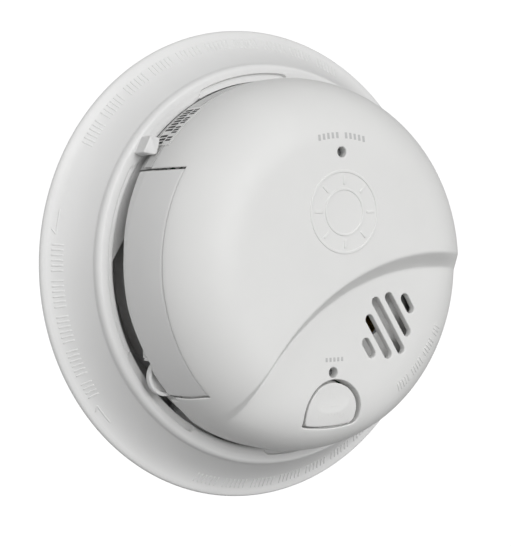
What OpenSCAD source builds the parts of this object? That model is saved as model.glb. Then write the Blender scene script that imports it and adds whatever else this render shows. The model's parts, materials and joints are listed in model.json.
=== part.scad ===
// Mains smoke alarm with battery back-up, locked onto its wide mounting bracket.
// The bracket's back lies on the plane Y = 0, +Z is up and the alarm's face looks along -Y.
// Inside wall() a point is written [x, z, h], where h is its height above the wall.

/* [Mounting bracket] */
// Outer radius of the bracket's flange
bracket_r = 71; // [70:0.5:74]
// Radius of the recess that the alarm sits in
recess_r = 54.5; // [54.3:0.1:54.8]
// Height of the ridge round the recess
ridge_h = 16.6; // [15.8:0.1:16.8]
// Height of the flange along its outer edge
rim_h = 2.6; // [2.2:0.1:3.2]
// Thickness of the plate that is screwed to the wall box
plate_t = 2.4; // [2:0.1:2.8]
// Radius of the opening for the house wiring
wiring_r = 30; // [29:0.5:31]
// Distance between the centres of two opposite screw slots
slot_spacing = 79.4; // [76:0.1:82]
// Length of a screw slot from end to end
slot_length = 14.3; // [8:0.1:15]
// Width of a screw slot
slot_w = 4.8; // [4:0.1:5.2]

/* [Alarm housing] */
// Height of the alarm's back plate above the wall
back_h = 5.6; // [5.2:0.1:6]
// Outer radius of the wall that goes down into the bracket
neck_r = 49; // [48.5:0.1:49.2]
// Outer radius of the side wall above the ridge
side_r = 53; // [52.8:0.1:53.2]
// Wall thickness of the cover
cover_t = 2; // [1.8:0.1:2.2]
// Radius of the cover at its lower edge
cover_r = 54.4; // [54:0.1:54.8]
// Height of the cover's lower edge
cover_edge_h = 24.7; // [24.5:0.1:25]
// Height of the dome at the end of its rounded shoulder
dome_h = 49.6; // [49:0.1:50.5]
// Height of the lowered face at the end of its rounded shoulder
low_h = 43.7; // [43:0.1:44.5]
// Rise of each face from its edge to its middle
crown = 0.9; // [0.5:0.1:1.2]

/* [Face] */
// Radius of the curved step between the two faces
step_r = 71.3; // [70:0.1:72]
// Length of the longest sound slot
sound_slot = 19.6; // [16:0.1:20]
// Width of the sound slots
sound_slot_w = 2.8; // [2.2:0.1:3]
// Diameter of the alarm lamp's hole
lamp_hole_d = 3; // [2.8:0.1:3.2]
// Travel of the test button
button_travel = 1.5; // [1:0.1:1.6]

/* [Battery drawer] */
// Length of the battery's case
battery_l = 45.5; // [44:0.1:46]
// Width of the battery's case
battery_w = 26.5; // [25:0.1:26.5]
// Thickness of the battery's case
battery_t = 17.5; // [16:0.1:17.5]

/* [Hidden] */
$fn = 96;
e = 0.01;

// Bracket
ridge_r = recess_r + 3.8;          // outer edge of the ridge's flat top
foot_r = recess_r + 5.4;           // foot of the ridge, where the flange's hollow curve ends
foot_h = 14.4;
flange_t = 1.8;
rib_h = 2.4;
recess_depth = 1.2;
recess_w = 2.3;                    // how far a notch reaches into the ridge
long_recess_depth = 0.5;           // beside the drawer the notch is long and shallow
lug_angles = [0, 120, 240];
lug_half = 8;                      // half the angle that a lug or a hook covers
lug_h = 9.8;
lug_t = 2;
post_outline = [[-47.6, 32.2], [-45, 31.3], [-43.7, 36], [-45.1, 36.9]];
post_h = 24;
post_top_h = 22;                   // height of the post's top along its outer side
recess_angles = [[85, 118], [205, 238], [264, 297], [325, 358]];
long_recess_angles = [148.5, 204.9];

// Alarm shell
hook_h = 6.8;
pad_angles = [86, 148.9];          // where the side wall is flush with the cover, beside the label
pad_step = [142.5, 20.3];          // past this angle only the wall above this height is flush
ledge_h = 13.2;
ledge_t = 1.4;
ledge_angles = [142.8, 180];
ledge_cut = [-54.2, 1.9];          // where the ledge's slanting lower end meets its outer edge
ledge_slant = 59;
pad_gap = 0.2;                     // how much narrower the flush stretch is inside the recess
apron_angles = [223.5, 262];       // where the cover reaches down over the side wall
apron_h = 17.2;
apron_r = cover_r - 0.05;
label_angles = [124, 141.3];
label_t = 0.12;
shelf_h = 15.4;                    // underside of the shelf between the neck and the side wall
shelf_t = 1.6;
shoulder_r = 34;                   // radius where the dome's rounded shoulder ends
low_shoulder_r = 35.2;
low_squareness = 2.35;
step_centre = [36, -71.8];
step_slope = 0.53;                 // the step's outward lean per unit of height
base_t = 1.8;

// Places on the board and on the face, as [x, z]
horn_at = [19.9, -18.1];
chamber_at = [20, 22];
alarm_lamp_at = [0, 31.5];
power_lamp_at = [0, -30.5];
button_at = [0.6, -42.3];
button_r = 9.8;                    // top of the button's opening
button_half = 9.7;                 // half the width of the opening at its lower corners
button_base_r = 46.85;             // the opening's lower side is an arc about the alarm's centre
button_shift = -0.15;              // how far to the right the button lies in its opening
collar_h = 39;                     // lower end of the collar round the opening
collar_t = 0.9;
stem_at = [0, -39.5];
button_sink = 0.6;                 // how deep the button's face lies in its opening
opening_corners = [0.9, 2.2];
button_corners = [1.6, 1.6];
leaf_h = 0.8;                      // height of the switch leaf above the board
cover_screw_at = [for (a = [20, 118, -125, -62]) 44.5 * [cos(a), sin(a)]];
board_screw_at = [[40, -9.5], [2, -20], [0, 42]];

// Board
board_h = 13;
board_t = 1.6;
board_top = board_h + board_t;
board_r = 46;

// Inlet
inlet_h = 5;
inlet_size = [22, 12.5];
inlet_mouth = [17, 8.6];

// Drawer and battery
drawer_low = -35.8;
drawer_high = 27;
drawer_gap = 0.6;
panel_taper = [31, 0.8];           // above this height the panel's lower end slants in by so much
panel_low_h = 23.4;                // the panel's lower edge along its lower half
panel_corner_h = 19.2;             // the panel's lower edge at its upper corner
panel_bend_z = -9;
panel_high_h = 37.5;
panel_t = 1.8;
skirt_h = 21.3;                    // the panel's lower edge beside the tab
skirt_z = [-29.2, -27.4];
tab_h = 19.4;
tab_t = 2;
tab_r = 5.6;
tab_at = [-41.2, -30.5];
tray_h = 17.3;
tray_t = 1.1;
battery_x = -42.5;                 // the battery's outer side
battery_z = -24.5;                 // the battery's lower end
battery_h = tray_h + tray_t + 0.2;
battery_mid = battery_x + battery_w / 2;
snap_gap = 12.7;
snap_l = 3;
tray_end = battery_x + battery_w + 0.3;
bay_r = 45;
bay_floor = 15.2;

// ---------------------------------------------------------------- shared shapes

module wall() { rotate([90, 0, 0]) children(); }

module at(p, h) { translate([p[0], p[1], h]) children(); }

// Height of a round shell at radius r: a rounded shoulder from [r0, h0] up to [rt, h1], then a low
// crown. A squareness of 2 makes the shoulder an ellipse, and more makes it squarer.
function shell_h(r, r0, h0, rt, h1, squareness) =
    let (u = max(0, (r - rt) / (r0 - rt)))
    h0 + (h1 - h0) * pow(1 - pow(u, squareness), 1 / squareness) + crown * (1 - pow(r / r0, 2));
module dome(r0, h0, rt, h1, squareness) {
    steps = 14;
    rotate_extrude()
        polygon(concat([[0, h0]],
            [for (i = [0 : steps])
                let (r = rt + (r0 - rt) * pow(cos(90 * i / steps), 2 / squareness))
                [r, shell_h(r, r0, h0, rt, h1, squareness)]],
            [for (i = [1 : 4]) let (r = rt * (1 - i / 4)) [r, shell_h(r, r0, h0, rt, h1, squareness)]]));
}
module high_dome(inset = 0)
    dome(cover_r - inset, cover_edge_h - inset / 2, shoulder_r, dome_h - inset, 2);
module low_dome(inset = 0)
    dome(cover_r - inset, cover_edge_h - inset / 2, low_shoulder_r, low_h - inset, low_squareness);

// The high face with the lowered face cut into its lower right part
module face_solid(inset = 0) {
    foot = 27.4;
    difference() {
        high_dome(inset);
        difference() {
            at(step_centre, foot)
                cylinder(h = 40, r1 = step_r + inset - (low_h - foot) * step_slope,
                    r2 = step_r + inset + (40 - low_h + foot) * step_slope);
            low_dome(inset);
        }
    }
}

// Height of the cover's outer surface at a place on the face
function face_h(p) = norm(p - step_centre) < step_r + 2
    ? shell_h(norm(p), cover_r, cover_edge_h, low_shoulder_r, low_h, low_squareness)
    : shell_h(norm(p), cover_r, cover_edge_h, shoulder_r, dome_h, 2);

module ring(r_out, r_in, h) {
    difference() {
        cylinder(r = r_out, h = h);
        translate([0, 0, -1]) cylinder(r = r_in, h = h + 2);
    }
}

// Sector of a disc, from angle a0 to angle a1, under 180 degrees
module sector(r, h, a0, a1) {
    far = r / cos((a1 - a0) / 4);
    intersection() {
        cylinder(r = r, h = h);
        linear_extrude(h)
            polygon([[0, 0], for (a = [a0, (a0 + a1) / 2, a1]) far * 1.2 * [cos(a), sin(a)]]);
    }
}

module arc_block(r_out, r_in, h, a0, a1) {
    difference() {
        sector(r_out, h, a0, a1);
        translate([0, 0, -1]) cylinder(r = r_in, h = h + 2);
    }
}

// Straight slot with round ends, centred, along X
module slot(length, width, h) {
    run = length - width;
    translate([-run / 2, -width / 2, 0]) cube([run, width, h]);
    for (s = [-1, 1]) translate([s * run / 2, 0, 0]) cylinder(d = width, h = h);
}

module block(size, h) { translate([-size[0] / 2, -size[1] / 2, 0]) cube([size[0], size[1], h]); }

// Part lying along X with two bent leads, for resistors and diodes
module axial_part(length, r, lift) {
    translate([-length / 2, 0, board_top + lift]) rotate([0, 90, 0]) cylinder(r = r, h = length, $fn = 32);
    for (s = [-1, 1]) {
        translate([s > 0 ? length / 2 : -length / 2 - 1.2, 0, board_top + lift])
            rotate([0, 90, 0]) cylinder(r = 0.3, h = 1.2, $fn = 16);
        translate([s * (length / 2 + 1), 0, board_top]) cylinder(r = 0.3, h = lift, $fn = 16);
    }
}

module pan_screw(head_r, head_h, shank_r, shank_l) {
    difference() {
        cylinder(r = head_r, h = head_h);
        for (a = [0, 90]) rotate(a) translate([-head_r * 0.6, -0.4, -1]) cube([head_r * 1.2, 0.8, 1.9]);
    }
    translate([0, 0, head_h - e]) cylinder(r = shank_r, h = shank_l, $fn = 32);
}

// ---------------------------------------------------------------- bracket

// Height of the flange's upper side: a hollow curve rises from the edge to the foot of the ridge
function flange_h(r) =
    r > foot_r ? rim_h + (foot_h - rim_h) * pow((bracket_r - r) / (bracket_r - foot_r), 2)
    : let (u = max(0, (r - ridge_r) / (foot_r - ridge_r))) foot_h + (ridge_h - foot_h) * sqrt(1 - u * u);

// Notch in the inner edge of the ridge's top
module ridge_notch(depth, angles) {
    translate([0, 0, ridge_h - depth])
        arc_block(recess_r + recess_w, recess_r - 1, depth * 2, angles[0], angles[1]);
}

module mounting_bracket() color("whitesmoke") wall() {
    wall_r = recess_r + 2;
    edge = 0.7;                        // rounding of the outer edge
    under_r = bracket_r - 3;
    difference() {
        rotate_extrude()
            polygon(concat(
                [[wiring_r, 0], [wiring_r, plate_t], [recess_r, plate_t], [recess_r, ridge_h - 1.1],
                 [recess_r + 0.3, ridge_h - 0.4], [recess_r + 1, ridge_h]],
                [for (i = [0 : 5]) let (r = ridge_r + (foot_r - ridge_r) * i / 5) [r, flange_h(r)]],
                [for (i = [1 : 10])
                    let (r = foot_r + (bracket_r - edge - foot_r) * i / 10)
                    [r, flange_h(r)]],
                [[bracket_r - 0.2, rim_h - 0.2], [bracket_r, rim_h - edge],
                 [bracket_r - 1.2, 0], [under_r + 0.4, 0],
                 [under_r, flange_h(under_r + 1.6) - flange_t + 0.4]],
                [for (i = [1 : 8]) let (r = under_r - (under_r - wall_r) * i / 8)
                    [r, flange_h(r + 1.6) - flange_t + 0.4]],
                [[wall_r, 0]]));
        for (a = [0, 90, 180, 270])
            rotate(a) translate([slot_spacing / 2, 0, -1]) slot(slot_length, slot_w, plate_t + 2);
        for (a = recess_angles) ridge_notch(recess_depth, a);
        ridge_notch(long_recess_depth, long_recess_angles);
    }
    for (a = lug_angles)
        translate([0, 0, lug_h])
            arc_block(recess_r + 0.5, recess_r - 4.2, lug_t, a - lug_half, a + lug_half);
    // Upright post beside the drawer, which shows where the alarm has to point
    difference() {
        translate([0, 0, ridge_h - 4]) linear_extrude(post_h - ridge_h + 4) polygon(post_outline);
        // Its top falls away towards its outer side
        translate([post_outline[0][0], post_outline[0][1], post_top_h]) rotate(152) rotate([0, 40, 0])
            translate([-10, -10, 0]) cube(20);
    }
    // Ribs behind the flange
    for (i = [0 : 11])
        rotate(15 + 30 * i)
            translate([wall_r - 0.5, -0.7, 0]) cube([bracket_r - wall_r - 5, 1.4, rib_h]);
}

// ---------------------------------------------------------------- shell

// Clearance for the drawer, whose lower end slants in near the top like the panel's
module drawer_space(h0, h1) {
    low = -drawer_low + drawer_gap;
    high = -drawer_high - drawer_gap;
    translate([-20, 0, 0]) rotate([90, 0, -90]) linear_extrude(40)
        polygon([
            [high, h0], [high, h1], [low - panel_taper[1], h1],
            [low, panel_taper[0]], [low, h0]
        ]);
}

// Stretch of the base's side wall that is flush with the cover
module flush_side() {
    inner_r = side_r - 0.5;
    translate([0, 0, shelf_h + 0.3])
        arc_block(cover_r - pad_gap, inner_r, 3, pad_angles[0] + 0.3, pad_step[0] - 0.3);
    difference() {
        translate([0, 0, ridge_h + 0.4])
            arc_block(cover_r, inner_r, cover_edge_h - 0.7 - ridge_h, pad_angles[0], pad_angles[1]);
        translate([0, 0, ridge_h]) sector(60, pad_step[1] - ridge_h, pad_step[0], pad_angles[1] + 3);
    }
}

module base_housing() color("gainsboro") wall() {
    difference() {
        union() {
            translate([0, 0, back_h]) cylinder(r = neck_r, h = shelf_h + shelf_t - back_h);
            translate([0, 0, shelf_h]) cylinder(r = side_r, h = cover_edge_h - 0.3 - shelf_h);
            translate([0, 0, shelf_h]) cylinder(r = side_r - 1, h = cover_edge_h + 2.3 - shelf_h);
            flush_side();
            // Ledge that closes the gap below the drawer's upper half
            difference() {
                translate([0, 0, ledge_h])
                    arc_block(recess_r - 0.3, neck_r - 1, ledge_t, ledge_angles[0], ledge_angles[1]);
                at(ledge_cut, ledge_h - 1) rotate(ledge_slant) translate([-5, -30, 0]) cube([40, 30, 4]);
            }
            for (a = lug_angles)
                translate([0, 0, hook_h])
                    arc_block(recess_r - 0.9, neck_r - 1, lug_h - hook_h - 0.4, a - lug_half, a + lug_half);
        }
        translate([0, 0, back_h + base_t]) cylinder(r = neck_r - 2, h = 40);
        translate([0, 0, shelf_h + shelf_t]) cylinder(r = side_r - 2.4, h = 40);
        drawer_space(shelf_h, 60);
        translate([0, 0, back_h - 1]) block(inlet_size + [0.4, 0.4], base_t + 2);
        for (p = cover_screw_at) at(p, back_h - 1) cylinder(r = 1.7, h = base_t + 9, $fn = 32);
        // Smoke inlets round the right-hand side, between the ridge and the cover
        for (a = [-76 : 8 : 76])
            rotate(a) translate([side_r - 4, -1.6, shelf_h + shelf_t + 1.4]) cube([8, 3.2, 4.6]);
    }
    for (p = cover_screw_at) difference() {
        at(p, back_h + base_t - e) cylinder(r = 3, h = board_h - 0.2 - back_h - base_t);
        at(p, back_h) cylinder(r = 1.7, h = 20, $fn = 32);
    }
    for (p = board_screw_at) difference() {
        at(p, back_h + base_t - e) cylinder(r = 2.6, h = board_h - back_h - base_t);
        at(p, back_h + base_t + 0.8) cylinder(r = 1.1, h = 20, $fn = 32);
    }
}

// Outline of the test button's opening, or of the button itself when inset: a round top on two
// rounded lower corners, whose radii are given. The lower side is inset less than the others.
module button_outline(inset, corners) {
    base_r = button_base_r - 0.6 * inset;
    low = [for (i = [0, 1])
        let (x = button_at[0] + (2 * i - 1) * (button_half - inset - corners[i]))
        [x, -sqrt(pow(base_r - corners[i], 2) - x * x)]];
    translate(button_at) circle(r = button_r - inset);
    for (i = [0, 1]) translate(low[i]) circle(r = corners[i], $fn = 48);
    intersection() {
        circle(r = base_r, $fn = 192);
        polygon([
            button_at - [button_r - inset, 0], button_at + [button_r - inset, 0],
            low[1] + [corners[1], 0], low[1], 1.1 * low[1],
            1.1 * low[0], low[0], low[0] - [corners[0], 0]
        ]);
    }
}

module sound_slots() {
    lengths = [0.33, 0.77, 1, 0.77, 0.33];
    for (i = [0 : 4])
        translate([horn_at[0] + 3.6 * (i - 2), horn_at[1] + 3.07 * (i - 2), low_h - 8])
            rotate(-57.3) slot(sound_slot * lengths[i], sound_slot_w, 14, $fn = 48);
}

// Apron below the cover's edge, whose lower side slopes down from the drawer's tab
module apron() {
    difference() {
        translate([0, 0, apron_h])
            arc_block(apron_r, side_r + 0.2, cover_edge_h + 0.5 - apron_h,
                apron_angles[0], apron_angles[1]);
        rotate(apron_angles[0]) translate([side_r - 4, 0, 0]) rotate([90, 0, 90])
            linear_extrude(8) polygon([[-4, 15], [-4, 20.3], [5, 20.3], [13, apron_h], [13, 15]]);
    }
}

module cover() color("white") wall() {
    guide_h = 27.4;
    guide_l = 6;
    web_t = 1.6;
    post_r = 2.4;
    inside = 0.4 * cover_t;            // depth of the tubes' ends below the outer surface
    difference() {
        union() {
            difference() {
                face_solid();
                face_solid(cover_t);
            }
            apron();
            // Collar round the button's opening
            intersection() {
                translate([0, 0, collar_h]) linear_extrude(12) button_outline(-collar_t, opening_corners);
                low_dome(0.5);
            }
            // Tubes round the light guides
            for (p = [alarm_lamp_at, power_lamp_at])
                at(p, 37) cylinder(r = lamp_hole_d / 2 + 0.6, h = face_h(p) - inside - 37, $fn = 48);
            // Posts for the screws, which end in the sloping wall
            for (p = cover_screw_at)
                at(p, board_h)
                    cylinder(r = post_r, h = face_h(p * (1 + post_r / norm(p))) - 0.4 - board_h, $fn = 48);
            // Guide for the test button's stem, on two webs from the side wall
            at(stem_at, guide_h) cylinder(r = 4.2, h = guide_l, $fn = 48);
            for (s = [-1, 1])
                translate([s * 3.2 - web_t / 2, -52.6, guide_h]) cube([web_t, 12, guide_l]);
        }
        at(stem_at, 20) cylinder(r = 2.8, h = 20, $fn = 48);
        for (p = cover_screw_at) at(p, board_h - 1) cylinder(r = 1.1, h = 16, $fn = 32);
        for (p = [alarm_lamp_at, power_lamp_at]) at(p, 30) cylinder(d = lamp_hole_d, h = 30, $fn = 48);
        drawer_space(20, panel_high_h + 0.4);
        translate([0, 0, 34]) linear_extrude(20) button_outline(0, opening_corners);
        sound_slots();
    }
}

// Label across the joint between the base and the cover
module date_label() color("snow") wall()
    translate([0, 0, ridge_h + 0.7])
        arc_block(cover_r + label_t, cover_r, cover_edge_h + 1.9 - ridge_h,
            label_angles[0], label_angles[1]);

module rating_label() color("silver") wall()
    translate([0, 0, back_h - label_t]) arc_block(neck_r - 7, 22, label_t, 96, 264);

// ---------------------------------------------------------------- board

module circuit_board() color("darkgreen") wall() difference() {
    translate([0, 0, board_h]) cylinder(r = board_r, h = board_t);
    for (p = cover_screw_at) at(p, board_h - 1) cylinder(r = 3.6, h = 4, $fn = 48);
    for (p = board_screw_at) at(p, board_h - 1) cylinder(r = 1.6, h = 4, $fn = 32);
}

module chamber_insulator() color("ivory") wall() at(chamber_at, board_top) {
    difference() {
        cylinder(r = 16, h = 2);
        translate([0, 0, -1]) cylinder(r = 4.2, h = 4, $fn = 48);
    }
    for (a = [30, 150, 270]) rotate(a) translate([8.5, 0, 2 - e]) cylinder(r = 1, h = 5.4, $fn = 32);
}

module chamber_can() color("lightgrey") wall() at(chamber_at, board_top + 2) difference() {
    cylinder(r = 15.4, h = 13);
    translate([0, 0, -1]) cylinder(r = 15, h = 13.6);
    for (a = [0 : 20 : 340]) rotate(a) translate([13, -1.5, 2.4]) cube([4, 3, 7]);
    for (a = [0 : 60 : 300]) rotate(a) translate([8, 0, 11]) cylinder(r = 1.6, h = 4, $fn = 32);
    translate([0, 0, 11]) cylinder(r = 2, h = 4, $fn = 32);
}

module collector_plate() color("silver") wall() at(chamber_at, board_top + 7.4) difference() {
    cylinder(r = 10.6, h = 0.5);
    translate([0, 0, -1]) cylinder(r = 3.4, h = 3, $fn = 48);
}

module source_holder() color("goldenrod") wall() at(chamber_at, board_top) {
    cylinder(r = 4, h = 2.4, $fn = 48);
    translate([0, 0, 2.4 - e]) cylinder(r = 2, h = 1.2, $fn = 48);
}

module horn_resonator() color("lightgrey") wall() at(horn_at, board_top) {
    difference() {
        cylinder(r = 14.5, h = 21);
        translate([0, 0, -1]) cylinder(r = 13.3, h = 20.6);
        translate([0, 0, 15]) cylinder(r = 3.2, h = 10, $fn = 48);
    }
    translate([0, 0, 8]) ring(13.4, 12.2, 1.2);
}

module piezo_disc() color("goldenrod") wall() at(horn_at, board_top + 9.2) {
    cylinder(r = 13.2, h = 0.35);
    translate([0, 0, 0.35 - e]) cylinder(r = 9.5, h = 0.25);
}

module horn_contacts() color("silver") wall()
    for (p = [[0, 0], [6, 0], [-11, 0]]) at(horn_at + p, board_top) {
        cylinder(r = 0.5, h = 9.1, $fn = 24);
        cylinder(r = 1.1, h = 1.4, $fn = 24);
    }

module power_inlet() color("ivory") wall() difference() {
    translate([0, 0, inlet_h]) block(inlet_size, board_h - inlet_h);
    translate([0, 0, inlet_h - 1]) block(inlet_mouth, 6.6);
    for (i = [-1 : 1]) translate([5.2 * i, 0, inlet_h]) block([1, 2.4], 12);
}

module inlet_pins() color("silver") wall()
    for (i = [-1 : 1]) translate([5.2 * i, 0, 9.8]) block([1, 2.4], board_h - 9.8);

module film_capacitor() color("goldenrod") wall()
    translate([-7.5, 8, board_top]) block([8, 18], 14.5);

module electrolytic_capacitors() color("midnightblue") wall()
    for (c = [[-7.5, -8, 4, 12], [-7.5, -18, 3.15, 11]]) translate([c[0], c[1], board_top]) {
        cylinder(r = c[2], h = c[3], $fn = 64);
        translate([0, 0, c[3] - e]) cylinder(r = c[2] - 0.6, h = 0.3, $fn = 64);
    }

module varistor() color("royalblue") wall() translate([2.5, -5.5, board_top]) {
    translate([-1.5, 0, 6]) rotate([0, 90, 0]) cylinder(r = 4.6, h = 3, $fn = 64);
    for (s = [-1, 1]) translate([0, 2.5 * s, 0]) cylinder(r = 0.4, h = 3, $fn = 16);
}

module chip(length, width, pins) {
    pin_pitch = 2.54;
    translate([0, 0, board_top + 0.5]) difference() {
        block([length, width], 3.3);
        translate([-length / 2, 0, 2.5]) cylinder(r = 0.9, h = 2, $fn = 24);
    }
    for (i = [0 : pins / 2 - 1], s = [-1, 1])
        translate([pin_pitch * (i - (pins / 2 - 1) / 2), s * (width / 2 + 0.25), board_top])
            block([0.7, 0.5], 2.4);
}

module detector_chip() color("dimgray") wall() translate([18, 1.2, 0]) chip(19.5, 6.4, 16);

module logic_chip() color("dimgray") wall() translate([39.2, 1, 0]) rotate(90) chip(9.6, 6.4, 8);

module resistors() color("tan") wall() {
    for (i = [0 : 3]) translate([-7.5, 21 + 3.2 * i, 0]) axial_part(6.3, 1.15, 1.5);
    for (i = [0 : 2]) translate([9.5, -35 - 3.2 * i, 0]) axial_part(6.3, 1.15, 1.5);
}

module diodes() color("dimgray") wall()
    for (i = [0 : 3]) translate([-8, -25.5 - 3.4 * i, 0]) axial_part(5, 1.35, 1.7);

module lamp(p) {
    at(p, board_top) {
        cylinder(r = 1.75, h = 1, $fn = 48);
        cylinder(r = 1.5, h = 3.8, $fn = 48);
        translate([0, 0, 3.8]) sphere(r = 1.5, $fn = 48);
    }
}

module alarm_lamp() color("red") wall() lamp(alarm_lamp_at);

module power_lamp() color("limegreen") wall() lamp(power_lamp_at);

module light_guides() color("lightcyan") wall() {
    at(alarm_lamp_at, board_top + 5.8) cylinder(r = 1.3, h = dome_h - 2 - board_top - 5.8, $fn = 48);
    at(power_lamp_at, board_top + 5.8) cylinder(r = 1.3, h = low_h - 2 - board_top - 5.8, $fn = 48);
}

// Shallow bay that the drawer runs in, with a rail along its upper side
module battery_bay() color("gainsboro") wall() intersection() {
    translate([0, 0, bay_floor]) cylinder(r = bay_r, h = 12);
    difference() {
        union() {
            translate([-60, battery_z - 3.1, bay_floor]) cube([60 + tray_end + 2.7, 54.2, 1.4]);
            translate([-60, battery_z - 3.1, bay_floor]) cube([60 + tray_end + 2.7, 1.2, 8.8]);
            translate([-60, battery_z + 49.9, bay_floor]) cube([60 + tray_end + 2.7, 1.2, 8.8]);
            translate([tray_end + 1.5, battery_z - 3.1, bay_floor]) cube([1.2, 54.2, 8.8]);
            translate([-60, battery_z + 47, bay_floor]) cube([60 + tray_end + 2.7, 1, 3.6]);
        }
        for (s = [-1, 1])
            translate([battery_mid + s * snap_gap / 2 - 2.9, battery_z + 48.7, bay_floor - 1])
                cube([5.8, 1.2, 4]);
    }
}

module battery_contacts() color("silver") wall()
    for (s = [-1, 1]) translate([battery_mid + s * snap_gap / 2 - 2.5, battery_z + 48.9, board_top]) {
        cube([5, 0.6, 16.5]);
        translate([0, -0.1, 11.5]) cube([5, 0.4, 3]);
    }

module switch_leaf() color("silver") wall() at(stem_at, board_top) {
    leaf_t = 0.3;
    for (s = [-1, 1]) translate([4.4 * s, 0, 0]) block([1.2, 2], leaf_h - 0.1);
    translate([0, 0, leaf_h - leaf_t]) block([10, 2], leaf_t);
    cylinder(r = 1.2, h = leaf_t, $fn = 32);
}

module board_screws() color("silver") wall()
    for (p = board_screw_at) at(p, board_top + 1.8) mirror([0, 0, 1]) pan_screw(2.8, 1.8, 1.1, 6);

module cover_screws() color("silver") wall()
    for (p = cover_screw_at) at(p, back_h - 1.6) pan_screw(2.6, 1.6, 1.1, 15);

// ---------------------------------------------------------------- moving pieces

// Block under the lowered face, with the button's outline
module button_block(inset, drop) {
    intersection() {
        translate([button_shift, 0, 37]) linear_extrude(20) button_outline(inset, button_corners);
        translate([0, 0, -drop]) low_dome();
    }
}

module test_button() color("white") wall() {
    dish_r = 26;
    difference() {
        union() {
            button_block(1.1, button_sink);
            button_block(0.5, button_sink + 4);
        }
        // Hollow behind the cap
        button_block(2.4, button_sink + 2.6);
        // Shallow dish for the finger
        at([0.5, -40.2], low_h - button_sink + dish_r - 0.5) sphere(r = dish_r, $fn = 160);
    }
    at(stem_at, board_top + leaf_h + button_travel + 0.3) cylinder(r = 2.5, h = 24, $fn = 48);
    // Shoulders that keep the button behind the cover
    for (s = [-1, 1]) translate([button_at[0] + s * 9.3, -42, 37]) block([3, 5], 1.6);
}

// Radius of the drawer's panel at a height: upright below, then leaning in, nearly straight
function panel_r(h) =
    let (t = max(0, (h - panel_low_h) / (panel_high_h - panel_low_h)))
    cover_r + 0.2 - 1.9 * t - 1.5 * t * t;

module battery_drawer() color("gainsboro") wall() {
    length = tray_end + 60;
    low = battery_z - 1.5;
    wall_t = 1.4;
    lean_h = panel_high_h + 1 - panel_low_h;
    heights = [panel_corner_h - 1, panel_low_h, for (i = [1 : 6]) panel_low_h + lean_h * i / 6];
    // Outer panel
    intersection() {
        rotate_extrude()
            polygon(concat(
                [for (h = heights) [panel_r(h), h]],
                [for (i = [7 : -1 : 0]) [panel_r(heights[i]) - panel_t, heights[i]]]));
        translate([-20, 0, 0]) rotate([90, 0, -90]) linear_extrude(40)
            polygon([
                [-drawer_high, panel_corner_h], [-drawer_high, panel_high_h],
                [-drawer_low - panel_taper[1], panel_high_h], [-drawer_low, panel_taper[0]],
                [-drawer_low, skirt_h], [-skirt_z[0], skirt_h],
                [-skirt_z[1], panel_low_h], [-panel_bend_z, panel_low_h]
            ]);
    }
    // Web behind the panel
    intersection() {
        translate([0, 0, panel_low_h + 0.1]) ring(cover_r - 1, 49.5, wall_t);
        translate([-60, drawer_low, panel_low_h]) cube([40, drawer_high - drawer_low, 2]);
    }
    // Curved front of the tray
    intersection() {
        translate([0, 0, tray_h]) ring(50.9, 49.5, panel_low_h - tray_h + 1);
        translate([-60, low, 0]) cube([40, battery_l + 4, 60]);
    }
    intersection() {
        translate([0, 0, tray_h]) cylinder(r = 50, h = 12);
        union() {
            translate([-60, low, tray_h]) cube([length + 0.9, battery_l + 2.5, tray_t]);
            translate([-60, low, tray_h]) cube([length + 0.9, 1.1, 7]);
            translate([tray_end, low, tray_h]) cube([0.9, battery_l + 2.5, 9]);
        }
    }
    // Finger tab under the panel's lower corner: a shallow round scoop
    at(tab_at, tab_h) difference() {
        cylinder(r = tab_r, h = tab_t, $fn = 96);
        translate([0, 0, 0.8]) cylinder(r = tab_r - 1.1, h = tab_t, $fn = 96);
    }
    at(tab_at + [0.2, 0.5], tab_h + 0.6) cylinder(r = 1.8, h = panel_low_h + 0.5 - tab_h, $fn = 32);
}

module battery() color("dimgray") wall()
    translate([battery_x, battery_z, battery_h]) cube([battery_w, battery_l, battery_t]);

module battery_terminals() color("silver") wall()
    for (s = [-1, 1])
        translate([battery_mid + s * snap_gap / 2, battery_z + battery_l, battery_h + battery_t / 2])
            rotate([-90, 0, 0]) cylinder(r = s > 0 ? 4.1 : 2.8, h = snap_l, $fn = 48);

mounting_bracket();
base_housing();
cover();
date_label();
rating_label();
circuit_board();
chamber_insulator();
chamber_can();
collector_plate();
source_holder();
horn_resonator();
piezo_disc();
horn_contacts();
power_inlet();
inlet_pins();
film_capacitor();
electrolytic_capacitors();
varistor();
detector_chip();
logic_chip();
resistors();
diodes();
alarm_lamp();
power_lamp();
light_guides();
battery_bay();
battery_contacts();
switch_leaf();
board_screws();
cover_screws();
test_button();
battery_drawer();
battery();
battery_terminals();
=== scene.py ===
"""Looks of the smoke alarm and its bracket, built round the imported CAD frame.

Lengths are written in millimetres and turned into metres by MM. A point on the object is [x, z, h],
where h is its height above the wall, which is the plane Y = 0.
"""

import json
import math

import bmesh
import bpy
import numpy as np
from mathutils import Matrix, Vector, geometry
from mathutils.kdtree import KDTree


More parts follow.
